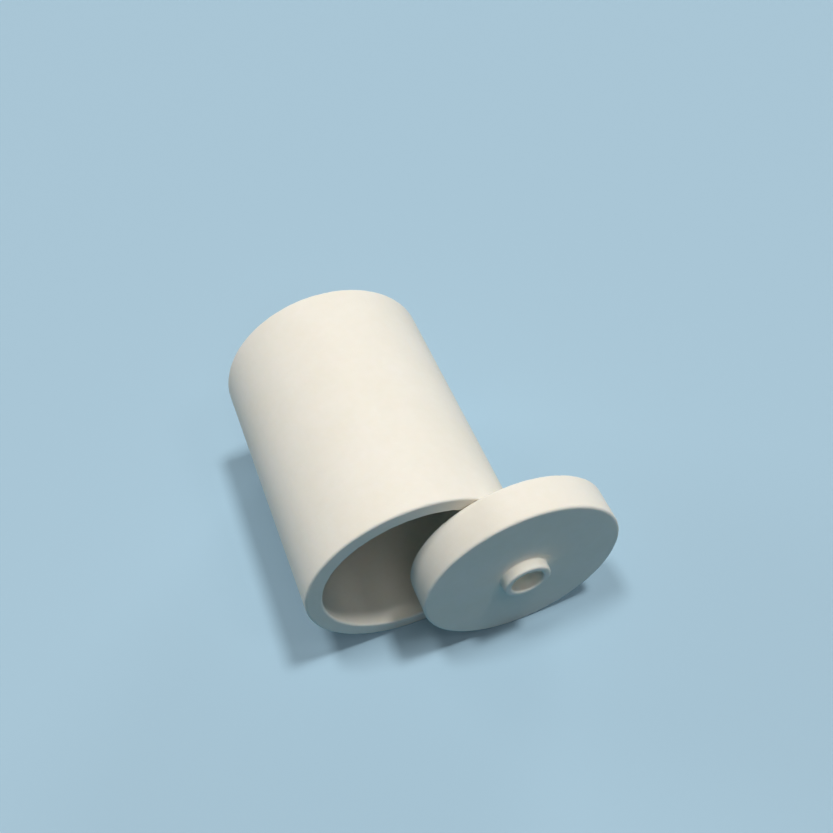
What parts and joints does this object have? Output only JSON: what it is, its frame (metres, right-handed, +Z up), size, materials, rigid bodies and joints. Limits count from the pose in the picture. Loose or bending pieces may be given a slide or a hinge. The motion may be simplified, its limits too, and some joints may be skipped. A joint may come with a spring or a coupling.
{
  "type": "lidded cylindrical ceramic crucible",
  "caption": "Straight-walled cylindrical ceramic crucible on its side, its thick flat lid with a hollow centre boss stood on edge against the mouth.",
  "frame": {"origin": "on the table, under the middle of the common box of crucible and lid", "axes": "+Z up; the crucible's axis lies along Y, its base facing +Y and its mouth -Y; the lid stands at the +X side of the mouth"},
  "size_m": [0.0556, 0.0598, 0.04],
  "materials": {
    "crucible_ceramic": "matte unglazed fired ceramic, warm white, very fine grain",
    "lid_ceramic": "matte unglazed fired ceramic, warm white, very fine grain"
  },
  "bodies": {
    "crucible_body": {"crucible": "crucible_ceramic"},
    "lid_body": {"lid": "lid_ceramic"}
  },
  "joints": [
    {"name": "lid_slide", "type": "slide", "parent": "crucible_body", "child": "lid_body", "axis": [-0.9962, 0, 0.0871], "range_m": [-0.0218, 0.01722]}
  ]
}
